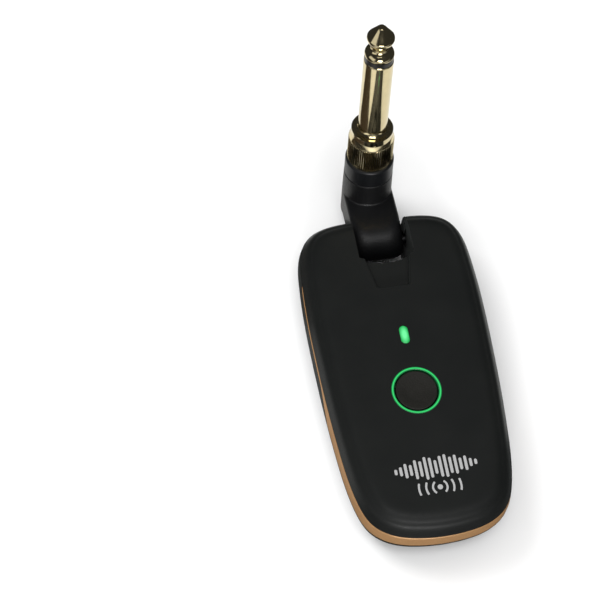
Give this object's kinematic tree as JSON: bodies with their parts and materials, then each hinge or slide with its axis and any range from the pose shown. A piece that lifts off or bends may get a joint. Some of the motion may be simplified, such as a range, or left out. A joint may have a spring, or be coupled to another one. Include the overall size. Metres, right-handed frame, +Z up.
{
  "type": "wireless guitar transmitter",
  "caption": "Flat rounded rechargeable transmitter body with a lit push button and a 6.35 mm jack plug on an elbow arm that folds over the face.",
  "frame": {"origin": "centre of the flat underside of the body, on the surface it rests on", "axes": "+Z up out of the face with the button, +Y towards the hinge end, +X to the right when the face is seen from above with the hinge end at the top"},
  "size_m": [0.0392, 0.0953, 0.059],
  "materials": {
    "soft_touch_black": "soft-touch matt coat",
    "moulded_black": "fine moulded grain",
    "button_black": "grained",
    "copper_trim": "satin metallic",
    "pale_gold_plate": "bright pale gold plating",
    "green_light": "clear light guide, lit green",
    "black_plastic": "plain",
    "white_insulator": "plain",
    "board_green": "solder mask",
    "plated_steel": "nickel plated",
    "plain_brass": "plain",
    "cell_foil": "foil pouch",
    "foam_grey": "closed-cell foam",
    "red_insulation": "wire insulation"
  },
  "bodies": {
    "body": {"top_cover": "soft_touch_black", "bottom_cover": "soft_touch_black", "side_trim_band": "copper_trim", "led_lens": "green_light", "light_ring": "green_light", "status_led": "green_light", "ring_led_1": "green_light", "ring_led_2": "green_light", "ring_led_3": "green_light", "ring_led_4": "green_light", "tact_switch": "black_plastic", "usb_tongue": "black_plastic", "battery_socket": "black_plastic", "battery_lead_black": "black_plastic", "hinge_bush_left": "black_plastic", "hinge_bush_right": "black_plastic", "main_board": "board_green", "shield_can": "plated_steel", "usb_shell": "plated_steel", "case_screw_1": "plated_steel", "case_screw_2": "plated_steel", "case_screw_3": "plated_steel", "case_screw_4": "plated_steel", "board_screw_1": "plated_steel", "board_screw_2": "plated_steel", "hinge_pin": "plated_steel", "antenna_strip": "plain_brass", "battery_cell": "cell_foil", "battery_pad": "foam_grey", "battery_lead_red": "red_insulation"},
    "arm": {"arm_shell": "moulded_black", "sleeve_ferrule": "moulded_black", "knurled_collar": "pale_gold_plate", "plug_barrel": "pale_gold_plate", "insulator_ring": "black_plastic", "insulator_tube": "white_insulator", "plug_tip": "pale_gold_plate", "tip_lug": "plain_brass", "sleeve_lug": "plain_brass", "tip_lead": "red_insulation", "sleeve_lead": "black_plastic"},
    "button": {"button_cap": "button_black", "switch_plunger": "black_plastic"}
  },
  "joints": [
    {"name": "arm_hinge", "type": "hinge", "parent": "body", "child": "arm", "pos_m": [0, 0.0345, 0.0064], "axis": [1, 0, 0], "range_deg": [-80, 94]},
    {"name": "button_press", "type": "slide", "parent": "body", "child": "button", "axis": [0, 0, -1], "range_m": [0, 0.0004], "stiffness_N_per_m": 1500, "springref_m": -0.0005}
  ]
}
